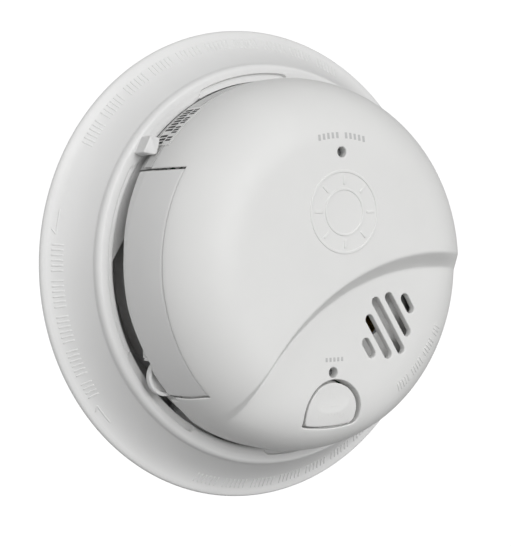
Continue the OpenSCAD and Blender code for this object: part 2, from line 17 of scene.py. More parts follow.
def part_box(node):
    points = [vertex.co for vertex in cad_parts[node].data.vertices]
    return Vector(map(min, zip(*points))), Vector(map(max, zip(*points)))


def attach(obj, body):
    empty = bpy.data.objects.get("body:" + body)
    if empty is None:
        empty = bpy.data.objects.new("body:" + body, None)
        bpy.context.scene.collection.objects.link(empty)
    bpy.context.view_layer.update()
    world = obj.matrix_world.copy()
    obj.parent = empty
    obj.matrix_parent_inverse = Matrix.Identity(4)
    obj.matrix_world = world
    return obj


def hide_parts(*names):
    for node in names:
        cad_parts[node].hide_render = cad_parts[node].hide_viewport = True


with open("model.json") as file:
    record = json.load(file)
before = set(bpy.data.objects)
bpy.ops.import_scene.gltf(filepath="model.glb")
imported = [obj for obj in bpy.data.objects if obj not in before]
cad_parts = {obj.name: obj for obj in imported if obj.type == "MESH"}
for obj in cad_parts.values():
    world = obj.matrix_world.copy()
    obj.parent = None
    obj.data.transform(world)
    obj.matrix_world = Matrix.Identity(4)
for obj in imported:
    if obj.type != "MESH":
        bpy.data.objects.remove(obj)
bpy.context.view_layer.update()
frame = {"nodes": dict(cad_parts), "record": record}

MM = 0.001
nodes = frame["nodes"]


# ------------------------------------------------------------------ sizes, from the frame

def node_span(node):
    """A node's box at rest in millimetres: (x0, x1), (z0, z1), (h0, h1)."""
    low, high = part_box(node)
    return ((low.x / MM, high.x / MM), (low.z / MM, high.z / MM), (-high.y / MM, -low.y / MM))


# Bracket: its flange rises from the rim to the foot of the ridge, inside which lies the recess
BRACKET_R = node_span("mounting_bracket")[0][1]
RECESS_R = BRACKET_R - 16.5
RIDGE_R = RECESS_R + 3.8
RIDGE_H = 16.6
FOOT_R = RECESS_R + 5.4
FOOT_H = 14.4
RIM_H = 3.8
RIM_ROUND = 1.2
PLATE_T = 2.4
WIRING_R = 30.0
SCREW_R = 39.7
NOTCH_STARTS = (85, 205, 264, 325)
NOTCH_SPAN = 33
LABEL_MIDDLE = 133

# Cover
COVER_R = node_span("cover")[1][1]
COVER_EDGE_H = 24.7
FACE_TOP = node_span("cover")[2][1]
CROWN = 0.9
RELIEF = 0.25
DOME_H = FACE_TOP - CROWN - RELIEF
COVER_T = 2.0
SHOULDER_R = 34.0
LOW_SHOULDER_R = 35.2
LOW_H = 43.7
# Each level of the face: where its shoulder starts, its height and its shoulder's squareness
HIGH_SHAPE = (SHOULDER_R, DOME_H, 2.0)
LOW_SHAPE = (LOW_SHOULDER_R, LOW_H, 2.35)
STEP_CENTRE = np.array([36.0, -71.8])
STEP_R = (73.5, 72.6)         # at the step's left and right ends
STEP_HALF = (1.55, 2.3)

# Drawer's panel
PANEL_Z = (-35.8, 27.0)
PANEL_LOW_H = 23.4
PANEL_FOOT = ((-25.0, 23.4), (-11.0, 21.8), (4.0, 21.6), (27.0, 19.2))  # its lower edge, as (z, h)
TAB_H = 19.4
PANEL_HIGH_H = node_span("battery_drawer")[2][1]
PANEL_TAPER = (31.0, 0.8)     # above this height the panel's lower end slants in by so much
DRAWER_GAP = 0.6
NOTCH_H = PANEL_HIGH_H + 0.3
SKIRT_H = 21.3
SKIRT_Z = (-29.2, -27.4)
SIDE_R = 53.0
APRON = ((223.5, 20.3), (228.8, 20.3), (237.4, 17.2), (262.0, 17.2))  # its lower edge, as (angle, h)

# Places and sizes on the face
HORN_AT = np.array([19.9, -18.1])
ALARM_LAMP_AT = np.array([0.0, 31.5])
POWER_LAMP_AT = np.array([0.0, -30.5])
BUTTON_AT = np.array([0.6, -42.3])
BUTTON_R = 9.8
BUTTON_HALF = 9.7
BUTTON_BASE_R = 46.85
BUTTON_SHIFT = np.array([-0.15, 0.0])
BUTTON_SINK = 0.6
OPENING_CORNERS = (0.9, 2.2)
BUTTON_CORNERS = (1.6, 1.6)
SKIRT_FOOT_H = 37.0
DISH_AT = np.array([0.5, -40.2])
DISH_R = 26.0
LAMP_HOLE_R = 1.5


def place(x, z, h):
    """Blender's coordinates, in metres, of arrays or numbers x, z, h in millimetres."""
    x, z, h = np.broadcast_arrays(np.asarray(x, float), np.asarray(z, float), np.asarray(h, float))
    return np.stack([x, -h, z], axis=-1) * MM


def panel_end(h):
    """Where the panel's lower end lies at a height."""
    share = np.clip((h - PANEL_TAPER[0]) / (PANEL_HIGH_H - PANEL_TAPER[0]), 0, 1)
    return PANEL_Z[0] + PANEL_TAPER[1] * share


# ------------------------------------------------------------------ materials

class Nodes:
    """Short way to write a material's node tree."""

    def __init__(self, name):
        self.material = bpy.data.materials.new(name)
        self.material.use_nodes = True
        self.tree = self.material.node_tree
        self.shader = self.tree.nodes["Principled BSDF"]
        self.coords = self.add("ShaderNodeTexCoord").outputs["Object"]

    def plug(self, socket, value):
        """Links a node's output to a socket, or sets the socket to a plain value."""
        if isinstance(value, bpy.types.NodeSocket):
            self.tree.links.new(value, socket)
        else:
            socket.default_value = value

    def add(self, kind, inputs=None, **settings):
        node = self.tree.nodes.new(kind)
        for key, value in settings.items():
            setattr(node, key, value)
        for key, value in (inputs or {}).items():
            self.plug(node.inputs[key], value)
        return node

    def noise(self, per_mm, detail=2.0, rough=0.5):
        return self.add("ShaderNodeTexNoise", {"Vector": self.coords, "Scale": per_mm / MM,
                                               "Detail": detail, "Roughness": rough}).outputs["Fac"]

    def ramp(self, value, low, high, to_low, to_high):
        return self.add("ShaderNodeMapRange", {"Value": value, "From Min": low, "From Max": high,
                                               "To Min": to_low, "To Max": to_high}).outputs["Result"]

    def spread(self, noise, to_low, to_high):
        """A noise's usual range brought to another one."""
        return self.ramp(noise, 0.3, 0.7, to_low, to_high)

    def mix(self, factor, a, b):
        """A mix of two colours. Sockets 0, 6 and 7 are the mix node's factor and colours."""
        return self.add("ShaderNodeMix", {0: factor, 6: a, 7: b}, data_type="RGBA").outputs[2]

    def bump(self, height, distance_mm):
        inputs = {"Height": height, "Distance": distance_mm * MM, "Strength": 1.0}
        return self.add("ShaderNodeBump", inputs).outputs["Normal"]

    def set(self, **sockets):
        for key, value in sockets.items():
            self.plug(self.shader.inputs[key.replace("_", " ")], value)


def shade(colour, factor):
    return tuple(c * factor for c in colour) + (1.0,)


def moulded(name, colour, rough=0.5, grain_mm=0.35, grain_depth=0.012, edge_highlight=0.05):
    """Moulded plastic: fine grain, faint flow mottling, and convex edges made lighter as a painted
    highlight.
    """
    n = Nodes(name)
    mottle = n.noise(0.06, 3.0)
    fine = n.noise(1.0 / grain_mm, 2.0, 0.6)
    # Painted highlight: convex edges, found by pointiness, are mixed toward a lighter shade of the colour.
    edge = n.ramp(n.add("ShaderNodeNewGeometry").outputs["Pointiness"], 0.5, 0.58, 0.0, 1.0)
    base = n.mix(n.spread(mottle, 0.0, 1.0), shade(colour, 0.985), shade(colour, 1.01))
    n.set(Base_Color=n.mix(n.ramp(edge, 0.0, 1.0, 0.0, edge_highlight * 4), base, shade(colour, 1.04)),
          Roughness=n.spread(n.noise(0.35, 4.0), rough - 0.05, rough + 0.06),
          Normal=n.bump(fine, grain_depth),
          Specular_IOR_Level=0.42)
    return n.material


def glossy(name, colour, rough=0.25, bump_mm=0.02):
    """Lacquer, epoxy or film: smooth with a slight orange peel."""
    n = Nodes(name)
    cloud = n.noise(0.3, 3.0)
    n.set(Base_Color=n.mix(n.spread(cloud, 0.0, 1.0), shade(colour, 0.93), shade(colour, 1.05)),
          Roughness=n.spread(n.noise(0.8, 4.0), rough - 0.06, rough + 0.08),
          Normal=n.bump(n.noise(0.7, 2.0), bump_mm))
    return n.material


def metal(name, colour, rough):
    """Rolled or plated metal with brush lines, scuffs and duller patches."""
    n = Nodes(name)
    stretched = n.add("ShaderNodeMapping", {"Vector": n.coords, "Scale": (1.0, 1.0, 12.0)})
    lines = n.add("ShaderNodeTexNoise", {"Vector": stretched.outputs["Vector"], "Scale": 0.6 / MM,
                                         "Detail": 4.0}).outputs["Fac"]
    patch = n.noise(0.15, 3.0)
    n.set(Base_Color=n.mix(n.ramp(patch, 0.35, 0.7, 0.0, 1.0), shade(colour, 0.86), shade(colour, 1.05)),
          Roughness=n.spread(lines, rough - 0.08, rough + 0.14),
          Normal=n.bump(lines, 0.01),
          Metallic=1.0)
    return n.material


def lens(name, colour, clearness):
    """Tinted or clear acrylic."""
    n = Nodes(name)
    n.set(Base_Color=n.mix(n.spread(n.noise(0.5), 0.0, 1.0), shade(colour, 0.9), shade(colour, 1.1)),
          Roughness=n.spread(n.noise(1.2), 0.04, 0.14),
          Normal=n.bump(n.noise(0.5), 0.01),
          Transmission_Weight=clearness, IOR=1.49)
    return n.material


WHITE = (0.80, 0.80, 0.79)
M = {
    "bracket_plastic": moulded("bracket_plastic", (0.79, 0.79, 0.785), 0.42, 0.5, 0.006),
    # The housing's grey is painted shade: the base is white plastic like the cover, darkened to stand for
    # the shade in the deep gaps around it.
    "housing_plastic": moulded("housing_plastic", (0.64, 0.64, 0.635), 0.5),
    "cover_plastic": moulded("cover_plastic", WHITE, 0.5),
    "button_plastic": moulded("button_plastic", (0.81, 0.81, 0.80), 0.42, 0.4, 0.006),
    "drawer_plastic": moulded("drawer_plastic", (0.79, 0.79, 0.785), 0.5, 0.45, 0.03),
    "label_film": glossy("label_film", WHITE, 0.38, 0.01),
    "rating_film": glossy("rating_film", (0.62, 0.63, 0.64), 0.3, 0.01),
    "board_laminate": glossy("board_laminate", (0.03, 0.16, 0.06), 0.3, 0.03),
    "chamber_metal": metal("chamber_metal", (0.72, 0.72, 0.70), 0.3),
    "insulator_plastic": moulded("insulator_plastic", (0.70, 0.68, 0.60), 0.45, 0.5),
    "brass_sheet": metal("brass_sheet", (0.78, 0.57, 0.24), 0.28),
    "horn_plastic": moulded("horn_plastic", (0.75, 0.75, 0.74), 0.55, 0.5, 0.008),
    "contact_metal": metal("contact_metal", (0.76, 0.76, 0.75), 0.25),
    "inlet_plastic": moulded("inlet_plastic", (0.72, 0.71, 0.66), 0.5, 0.5),
    "film_block": glossy("film_block", (0.72, 0.50, 0.10), 0.3, 0.04),
    "capacitor_sleeve": glossy("capacitor_sleeve", (0.03, 0.035, 0.09), 0.3),
    "varistor_coat": glossy("varistor_coat", (0.03, 0.10, 0.40), 0.25, 0.05),
    "chip_moulding": moulded("chip_moulding", (0.03, 0.03, 0.033), 0.6, 0.2, 0.01, 0.02),
    "resistor_coat": glossy("resistor_coat", (0.58, 0.43, 0.25), 0.45, 0.03),
    "screw_steel": metal("screw_steel", (0.70, 0.70, 0.72), 0.25),
    "battery_jacket": glossy("battery_jacket", (0.045, 0.045, 0.055), 0.28, 0.01),
    "battery_band": metal("battery_band", (0.62, 0.45, 0.16), 0.3),
    "print_ink": moulded("print_ink", (0.55, 0.55, 0.55), 0.6, 0.3, 0.004, 0.0),
    "dark_ink": moulded("dark_ink", (0.03, 0.03, 0.03), 0.55, 0.3, 0.004, 0.0),
    "red_lens": lens("red_lens", (0.55, 0.03, 0.02), 0.5),
    "green_lens": lens("green_lens", (0.08, 0.45, 0.10), 0.5),
    "clear_acrylic": lens("clear_acrylic", (0.85, 0.87, 0.88), 0.85),
}


# ------------------------------------------------------------------ mesh building

def add_object(name, data):
    made = bpy.data.objects.new(name, data)
    bpy.context.scene.collection.objects.link(made)
    return made


def finish_piece(name, verts, faces, slot, body, sharp=35.0, material=None):
    """Makes an object from vertices in metres, shades it smooth up to the sharp angle and lets it ride."""
    mesh = bpy.data.meshes.new(name)
    corners = [tuple(int(i) for i in f) for f in faces]
    mesh.from_pydata([tuple(v) for v in np.asarray(verts, float)], [], corners)
    mesh.validate(clean_customdata=False)
    made = bmesh.new()
    made.from_mesh(mesh)
    bmesh.ops.remove_doubles(made, verts=made.verts, dist=0.002 * MM)
    bmesh.ops.recalc_face_normals(made, faces=made.faces)
    made.to_mesh(mesh)
    made.free()
    mesh.materials.append(M[material or slot])
    for polygon in mesh.polygons:
        polygon.use_smooth = True
    mesh.set_sharp_from_angle(angle=math.radians(sharp))
    piece = add_object(name, mesh)
    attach(piece, body)
    return piece


def polar(radius, angle, centre=(0.0, 0.0)):
    """Flat points at radii and angles, in radians, about a centre."""
    return np.stack([centre[0] + radius * np.cos(angle), centre[1] + radius * np.sin(angle)], 1)


def grid_faces(rows, columns, wrap_rows=False, wrap_columns=False):
    """Quads of a grid of points stored row by row."""
    quads = []
    for i in range(rows if wrap_rows else rows - 1):
        for j in range(columns if wrap_columns else columns - 1):
            i2, j2 = (i + 1) % rows, (j + 1) % columns
            quads.append((i * columns + j, i * columns + j2, i2 * columns + j2, i2 * columns + j))
    return quads


def capped_faces(rows, columns):
    """Quads of a grid of rings, with a face over each end."""
    last = (rows - 1) * columns
    ends = [tuple(range(columns)), tuple(reversed(range(last, last + columns)))]
    return grid_faces(rows, columns, False, True) + ends


def rounded(profile, radius, steps=4):
    """A polygon with its corners turned into arcs. radius is one number, or one for each corner."""
    points = [np.array(p, float) for p in profile]
    count = len(points)
    radii = [radius] * count if np.isscalar(radius) else list(radius)
    out = []
    for i, (p, r) in enumerate(zip(points, radii)):
        a, b = points[i - 1] - p, points[(i + 1) % count] - p
        la, lb = np.linalg.norm(a), np.linalg.norm(b)
        a, b = a / la, b / lb
        half = math.acos(max(-1.0, min(1.0, float(a @ b)))) / 2
        if r <= 0 or half > math.radians(87):
            out.append(p)
            continue
        cut = min(r / math.tan(half), 0.45 * la, 0.45 * lb)
        start, end = p + a * cut, p + b * cut
        for k in range(steps + 1):
            t = k / steps
            out.append((1 - t) ** 2 * start + 2 * t * (1 - t) * p + t ** 2 * end)
    return np.array(out)


def lathe(profile, centre=(0.0, 0.0), segments=96, start=0.0, end=360.0):
    """Vertices and faces of a closed profile of [radius, h] points turned about the h axis."""
    profile = np.asarray(profile, float)
    whole = end - start >= 360.0
    angles = np.radians(np.linspace(start, end, segments, endpoint=not whole))
    r, h = profile[:, 0], profile[:, 1]
    x = centre[0] + np.outer(np.cos(angles), r)
    z = centre[1] + np.outer(np.sin(angles), r)
    verts = place(x, z, np.broadcast_to(h, x.shape)).reshape(-1, 3)
    if whole:
        return verts, grid_faces(len(angles), len(profile), True, True)
    return verts, capped_faces(len(angles), len(profile))


def joined(*parts):
    """Several (vertices, faces) pairs as one."""
    verts, faces, base = [], [], 0
    for v, f in parts:
        verts.append(np.asarray(v, float))
        faces += [tuple(i + base for i in face) for face in f]
        base += len(v)
    return np.concatenate(verts), faces


def box_mesh(x, z, h, bevel=0.25, turn=0.0):
    """A box with bevelled edges. x, z and h are (low, high), turned about the middle by turn degrees."""
    made = bmesh.new()
    bmesh.ops.create_cube(made, size=1.0)
    size = (x[1] - x[0], z[1] - z[0], h[1] - h[0])
    middle = ((x[0] + x[1]) / 2, (z[0] + z[1]) / 2, (h[0] + h[1]) / 2)
    for v in made.verts:
        v.co = Vector([c * s + m for c, s, m in zip(v.co, size, middle)])
    bmesh.ops.bevel(made, geom=made.edges[:], offset=min(bevel, 0.45 * min(size)), segments=3,
                    profile=0.5, affect="EDGES")
    co = np.array([v.co[:] for v in made.verts])
    made.verts.index_update()
    faces = [tuple(v.index for v in f.verts) for f in made.faces]
    made.free()
    cos, sin = math.cos(math.radians(turn)), math.sin(math.radians(turn))
    return place(co[:, 0] * cos - co[:, 1] * sin, co[:, 0] * sin + co[:, 1] * cos, co[:, 2]), faces


def inside(points, polygon):
    """True for the points in a polygon."""
    x, y = points[:, 0], points[:, 1]
    hit = np.zeros(len(points), bool)
    for (x0, y0), (x1, y1) in zip(polygon, np.roll(polygon, -1, axis=0)):
        if y0 != y1:
            hit ^= ((y0 > y) != (y1 > y)) & (x < (x1 - x0) * (y - y0) / (y1 - y0) + x0)
    return hit


def distance_to(points, polygon):
    """Distance from each point to a closed polygon's outline."""
    best = np.full(len(points), np.inf)
    for p, q in zip(polygon, np.roll(polygon, -1, axis=0)):
        d = q - p
        t = np.clip(((points - p) @ d) / max(d @ d, 1e-12), 0, 1)
        best = np.minimum(best, np.linalg.norm(points - p - t[:, None] * d, axis=1))
    return best


def spaced(polygon, step):
    """A closed polygon with points at most a step apart."""
    out = []
    for p, q in zip(polygon, np.roll(polygon, -1, axis=0)):
        count = max(1, int(math.ceil(np.linalg.norm(q - p) / step)))
        out += [p + (q - p) * k / count for k in range(count)]
    return np.array(out)


def grown(polygon, distance):
    """A closed polygon moved outward (or inward when distance is negative) along its corners' bisectors."""
    area = np.sum(polygon[:, 0] * np.roll(polygon[:, 1], -1) - np.roll(polygon[:, 0], -1) * polygon[:, 1])
    before = polygon - np.roll(polygon, 1, axis=0)
    after = np.roll(polygon, -1, axis=0) - polygon
    n1 = np.stack([before[:, 1], -before[:, 0]], 1) / np.linalg.norm(before, axis=1)[:, None]
    n2 = np.stack([after[:, 1], -after[:, 0]], 1) / np.linalg.norm(after, axis=1)[:, None]
    n = n1 + n2
    n /= np.linalg.norm(n, axis=1)[:, None]
    scale = 1 / np.maximum(0.5, (n * n1).sum(1))
    return polygon + np.sign(area) * distance * n * scale[:, None]


def circle(centre, radius, count):
    return polar(radius, np.linspace(0, 2 * math.pi, count, endpoint=False), centre)


def arc(radius, start, end, centre=(0.0, 0.0), step=1.0, count=None):
    count = count or max(3, int(abs(end - start) / 180 * math.pi * radius / step) + 1)
    return polar(radius, np.radians(np.linspace(start, end, count)), centre)


def slot_outline(centre, length, width, turn):
    """Outline of a straight slot with round ends."""
    right = polar(width / 2, np.linspace(-math.pi / 2, math.pi / 2, 12), ((length - width) / 2, 0))
    points = np.concatenate([right, -right])
    cos, sin = math.cos(math.radians(turn)), math.sin(math.radians(turn))
    return points @ np.array([(cos, sin), (-sin, cos)]) + np.asarray(centre)


def edge_rings(edges, fillet):
    """Rings of flat points over the rounded edges of a sheet.

    Gives the points, how far each lies below the surface, their kinds (1 outline, 2 holes) and the
    segments between neighbours.
    """
    flat, drops, kinds, segments = [], [], [], []
    for k, loop in enumerate(edges):
        for a in np.radians([90, 67.5, 45, 22.5, 0]):
            offset = fillet * (1 - math.sin(a))
            ring = loop if offset == 0 else grown(loop, -offset if k == 0 else offset)
            start = sum(len(f) for f in flat)
            flat.append(ring)
            drops.append(np.full(len(ring), fillet * (1 - math.cos(a))))
            kinds.append(np.full(len(ring), 1 if k == 0 else 2))
            segments += [(start + i, start + (i + 1) % len(ring)) for i in range(len(ring))]
    return flat, drops, kinds, segments


def on_sheet(points, edges):
    """True for the points inside the first edge and outside all the others."""
    good = inside(points, edges[0])
    for loop in edges[1:]:
        good &= ~inside(points, loop)
    return good


def near_any(queries, points, radius):
    """True for the queries that lie within a radius of any of the points."""
    tree = KDTree(len(points))
    for i, p in enumerate(points):
        tree.insert((p[0], p[1], 0.0), i)
    tree.balance()
    return np.array([tree.find((q[0], q[1], 0.0))[2] < radius for q in queries])


def field_points(edges, spacing, clear, extra):
    """Flat points over a sheet on rings about the middle, a clear way off its edges, and extra ones."""
    field = [np.zeros((1, 2))]
    for i, radius in enumerate(np.arange(spacing, (np.abs(edges[0]).max() + spacing) * 1.5, spacing)):
        count = max(6, int(round(2 * math.pi * radius / spacing)))
        a = 2 * math.pi * (np.arange(count) + 0.5 * (i % 2)) / count
        field.append(polar(radius, a))
    field = np.concatenate(field)
    if extra is not None:
        field = np.concatenate([field[~near_any(field, extra, spacing * 0.6)], extra])
    good = on_sheet(field, edges)
    for loop in edges:
        good &= distance_to(field, loop) > clear
    return field[good]


def surface_normal(surface, points, step=0.02):
    """Unit normals of a surface over flat points, from the places a step to each side of them."""
    du = surface(points + [step, 0]) - surface(points - [step, 0])
    dv = surface(points + [0, step]) - surface(points - [0, step])
    normal = np.cross(du, dv)
    return normal / np.linalg.norm(normal, axis=1)[:, None]


def closed_shell(front, back, patch):
    """Mesh of a front with the faces in patch, of the back behind it and of the strip that joins them."""
    count = len(front)
    patch = [tuple(int(i) for i in f) for f in patch]
    sides = dict.fromkeys(side for f in patch for side in zip(f, f[1:] + f[:1]))
    faces = patch + [tuple(i + count for i in reversed(f)) for f in patch]
    faces += [(q, p, p + count, q + count) for p, q in sides if (q, p) not in sides]
    every = np.concatenate([front, back])
    used = np.unique(np.concatenate([np.array(f) for f in faces]))
    renumber = -np.ones(len(every), int)
    renumber[used] = np.arange(len(used))
    return place(*every[used].T), [tuple(renumber[list(f)]) for f in faces]


def sheet_with_holes(outline, holes, surface, thickness, fillet, spacing=0.9, extra=None, edge_step=0.35,
                     inward=None):
    """A shell over a flat region with holes, as (vertices, faces).

    outline and holes are polygons in a flat plane. surface(points) gives each flat point's place in
    millimetres as [x, z, h]. Every edge of the front is rounded by a fillet. The back is the front
    moved in by the thickness, along the surface's normals or the directions that inward gives.
    """
    edges = [spaced(loop, edge_step) for loop in [outline] + holes]
    flat, drops, kinds, segments = edge_rings(edges, fillet)
    field = field_points(edges, spacing, fillet + 0.3 * spacing, extra)
    flat = np.concatenate(flat + [field])
    drops, kinds = (np.concatenate(part + [np.zeros(len(field))]) for part in (drops, kinds))
    made = geometry.delaunay_2d_cdt([Vector(p) for p in flat], segments, [], 0, 1e-6)
    points = np.array([v[:] for v in made[0]])
    origin = [o[0] if o else -1 for o in made[3]]
    drop = np.array([drops[o] if o >= 0 else 0.0 for o in origin])
    kind = np.array([kinds[o] if o >= 0 else 0 for o in origin])
    triangles = np.array(made[2])
    triangles = triangles[on_sheet(points[triangles].mean(axis=1), edges)]
    here, normal = surface(points), surface_normal(surface, points)
    depth = thickness(points) if callable(thickness) else thickness
    way = inward(here, normal, kind) if inward else normal
    return closed_shell(here - normal * drop[:, None], here - way * np.reshape(depth, (-1, 1)), triangles)


# ------------------------------------------------------------------ the face's shape

def shell_h(r, rt, h1, squareness):
    """Height of a round shell at radius r, as in the CAD: a rounded shoulder, then a low crown."""
    r = np.asarray(r, float)
    u = np.clip((r - rt) / (COVER_R - rt), 0, 1)
    lift = (1 - u ** squareness) ** (1 / squareness)
    return COVER_EDGE_H + (h1 - COVER_EDGE_H) * lift + CROWN * (1 - (r / COVER_R) ** 2)


def shoulder(rt, h1, squareness):
    """Radii and heights down the shoulder, from the face (90 degrees) to the cover's edge (0)."""
    a = np.radians(np.linspace(90, 0, 400))
    r = rt + (COVER_R - rt) * np.cos(a) ** (2 / squareness)
    lift = np.sin(a) ** (2 / squareness)
    return r, COVER_EDGE_H + (h1 - COVER_EDGE_H) * lift + CROWN * (1 - (r / COVER_R) ** 2)


# The cover is flattened onto a disc: q is the distance from the middle along the surface
HIGH = shoulder(*HIGH_SHAPE)
LOW = shoulder(*LOW_SHAPE)
SHOULDER_Q = SHOULDER_R + np.append(0, np.cumsum(np.hypot(np.diff(HIGH[0]), np.diff(HIGH[1]))))
EDGE_Q = SHOULDER_Q[-1]


def profile_at(q, table, rt, h1, squareness):
    """Radius and height at flat distance q."""
    q = np.asarray(q, float)
    face_r = q * rt / SHOULDER_R
    r = np.where(q < SHOULDER_R, face_r, np.interp(q, SHOULDER_Q, table[0]))
    face_h = shell_h(np.minimum(face_r, rt), rt, h1, squareness)
    h = np.where(q < SHOULDER_R, face_h, np.interp(q, SHOULDER_Q, table[1]))
    beyond = np.maximum(q - EDGE_Q, 0)
    bevel = np.clip(beyond - (COVER_EDGE_H - APRON[-1][1] - 1.0), 0, 1)
    return r - 0.4 * bevel, h - beyond


def flat_q(r, low):
    """Flat distance of a radius, on the lowered face or on the high one."""
    table, rt = (LOW, LOW_SHOULDER_R) if low else (HIGH, SHOULDER_R)
    r = np.asarray(r, float)
    return np.where(r < rt, r * SHOULDER_R / rt, np.interp(r, table[0], SHOULDER_Q))


def to_flat(points, low=False):
    """Points [x, z] on the face, moved to the flat disc."""
    points = np.asarray(points, float)
    r = np.maximum(np.linalg.norm(points, axis=1), 1e-9)
    return points * (flat_q(r, low) / r)[:, None]


def soft_ramp(s, soft=0.35):
    """0 below -1 and 1 above 1, straight between with rounded ends."""
    s = np.asarray(s, float)
    a = 1 + soft
    t = np.clip((s + a) / (2 * a), 0, 1)
    smooth = t * t * (3 - 2 * t)
    straight = np.clip((s + 1) / 2, 0, 1)
    return 0.5 * smooth + 0.5 * straight


def low_share(x, z):
    """How much a place belongs to the lowered face: 0 on the high one, 1 on the lowered one."""
    d = np.hypot(x - STEP_CENTRE[0], z - STEP_CENTRE[1])
    middle, half = (np.interp(x, (-25, 35), ends) for ends in (STEP_R, STEP_HALF))
    return soft_ramp((middle - d) / half)


def cover_surface(points):
    """Place [x, z, h] of points of the flat disc."""
    q = np.linalg.norm(points, axis=1)
    way = points / np.maximum(q, 1e-9)[:, None]
    rh, hh = profile_at(q, HIGH, *HIGH_SHAPE)
    rl, hl = profile_at(q, LOW, *LOW_SHAPE)
    guess = (rh + rl) / 2
    w = low_share(way[:, 0] * guess, way[:, 1] * guess)
    r, h = rh + (rl - rh) * w, hh + (hl - hh) * w
    return np.stack([way[:, 0] * r, way[:, 1] * r, h], 1)


def face_height(x, z):
    """Height of the cover's surface over a place on the face."""
    x, z = np.broadcast_arrays(np.asarray(x, float), np.asarray(z, float))
    r, w = np.hypot(x, z), low_share(x, z)
    return (1 - w) * shell_h(r, *HIGH_SHAPE) + w * shell_h(r, *LOW_SHAPE)


def button_outline(inset, corners):
    """Round top on two rounded lower corners, and a lower side that follows the cover's rim."""
    base_r = BUTTON_BASE_R - 0.6 * inset
    low = []
    for side, corner in zip((-1, 1), corners):
        x = BUTTON_AT[0] + side * (BUTTON_HALF - inset - corner)
        low.append(np.array([x, -math.sqrt((base_r - corner) ** 2 - x * x)]))
    ends = [math.degrees(math.atan2(c[1], c[0])) % 360 for c in low]
    return np.concatenate([
        arc(BUTTON_R - inset, 0, 180, BUTTON_AT, count=60), arc(corners[0], 180, ends[0], low[0], count=8),
        arc(base_r, ends[0], ends[1], count=32)[1:-1], arc(corners[1], ends[1], 360, low[1], count=10)])


# ------------------------------------------------------------------ cover

def rim_line(start, end):
    """The rim on the flat disc, clockwise from one angle to the other, with the apron reaching down."""
    first, last = (math.radians(APRON[k][0] - 360) for k in (0, -1))
    apron = np.linspace(last, first, 90)
    low = np.interp(np.degrees(apron) + 360, *zip(*APRON))
    angles = np.concatenate([np.linspace(start, last, 250), apron, np.linspace(first, end, 6)])
    q = np.concatenate([np.full(250, EDGE_Q), EDGE_Q + COVER_EDGE_H - low, np.full(6, EDGE_Q)])
    return polar(q, angles)


def notch_side(qs, z_at):
    """A side of the drawer's notch, where z_at(h) is its place at a height: points and angles."""
    r, h = (np.interp(qs, SHOULDER_Q, table) for table in HIGH)
    a = math.pi - np.arcsin(z_at(h) / r)
    return polar(qs, a), a


def cover_outline():
    """The cover's edge on the flat disc: the rim, broken by the drawer's notch on the left."""
    t = np.interp(NOTCH_H, HIGH[1][::-1], SHOULDER_Q[::-1])
    low_side, low_angles = notch_side(np.linspace(EDGE_Q, t, 16), lambda h: panel_end(h) - DRAWER_GAP)
    high_side, high_angles = notch_side(np.linspace(t, EDGE_Q, 16), lambda h: PANEL_Z[1] + DRAWER_GAP)
    rim = rim_line(high_angles[-1], low_angles[0] - 2 * math.pi)
    top = polar(t, np.linspace(low_angles[-1], high_angles[0], 60)[1:-1])
    return np.concatenate([rim, low_side[1:], top, high_side[:-1]])[::-1]


def sound_slots():
    """Five slots across the horn, the middle one longest."""
    pitch = np.array([3.6, 3.07])
    return [slot_outline(HORN_AT + pitch * (i - 2), length, 2.8, -57.3)
            for i, length in enumerate((6.5, 15.1, 19.6, 15.1, 6.5))]


def step_points():
    """Extra flat points along the step, close enough together for its rounded edges."""
    angles = np.radians(np.arange(80, 160, 0.55))
    rows = [polar(72.7 + offset, angles, STEP_CENTRE) for offset in np.arange(-4.2, 4.3, 0.35)]
    points = np.concatenate(rows)
    return to_flat(points[np.linalg.norm(points, axis=1) < COVER_R - 0.6])


def button_collar():
    """Collar that deepens the button's opening behind the shell."""
    inner, outer = button_outline(0.0, OPENING_CORNERS), button_outline(-0.4, OPENING_CORNERS)
    top, foot = face_height(*outer.T) - 0.8, 39.0
    rings = [place(*ring.T, h) for ring, h in ((inner, top), (inner, foot), (outer, foot), (outer, top))]
    return np.concatenate(rings), grid_faces(4, len(inner), True, True)


def cover_thickness(points):
    """The apron is thin, because it lies outside the base's side wall."""
    past = np.clip((np.linalg.norm(points, axis=1) - EDGE_Q + 1.2) / 1.2, 0, 1)
    return COVER_T + (COVER_R - SIDE_R - 0.3 - COVER_T) * past


def cover_inward(here, normal, kind):
    """Holes are cut straight in, and the notch's two ends are cut along X."""
    z = here[:, 1]
    notch = (kind == 1) & (here[:, 0] < 0) & (z > PANEL_Z[0] - 1.5) & (z < PANEL_Z[1] + 1.5)
    way = np.where((kind == 2)[:, None], [0.0, 0.0, 1.0], normal)
    way = np.where(notch[:, None], way * [1.0, 0.0, 1.0], way)
    return way / np.linalg.norm(way, axis=1)[:, None]


def make_cover():
    holes = [to_flat(s, True) for s in sound_slots()]
    holes.append(to_flat(circle(ALARM_LAMP_AT, LAMP_HOLE_R, 32)))
    holes.append(to_flat(circle(POWER_LAMP_AT, LAMP_HOLE_R, 32), True))
    holes.append(to_flat(button_outline(0.0, OPENING_CORNERS), True))
    shell = sheet_with_holes(cover_outline(), holes, cover_surface, cover_thickness, 0.3, 0.9,
                             step_points(), inward=cover_inward)
    inner, outer, foot = LAMP_HOLE_R, LAMP_HOLE_R + 0.6, 37.0
    tubes = [lathe([(inner, foot), (outer, foot), (outer, top), (inner, top)], p, 32)
             for p, top in ((ALARM_LAMP_AT, 48.6), (POWER_LAMP_AT, 42.8))]
    mesh = joined(shell, *tubes, button_collar())
    cover = finish_piece("cover_shell", *mesh, "cover_plastic", "alarm", 40)
    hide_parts("cover")


make_cover()


# ------------------------------------------------------------------ raised and printed marks

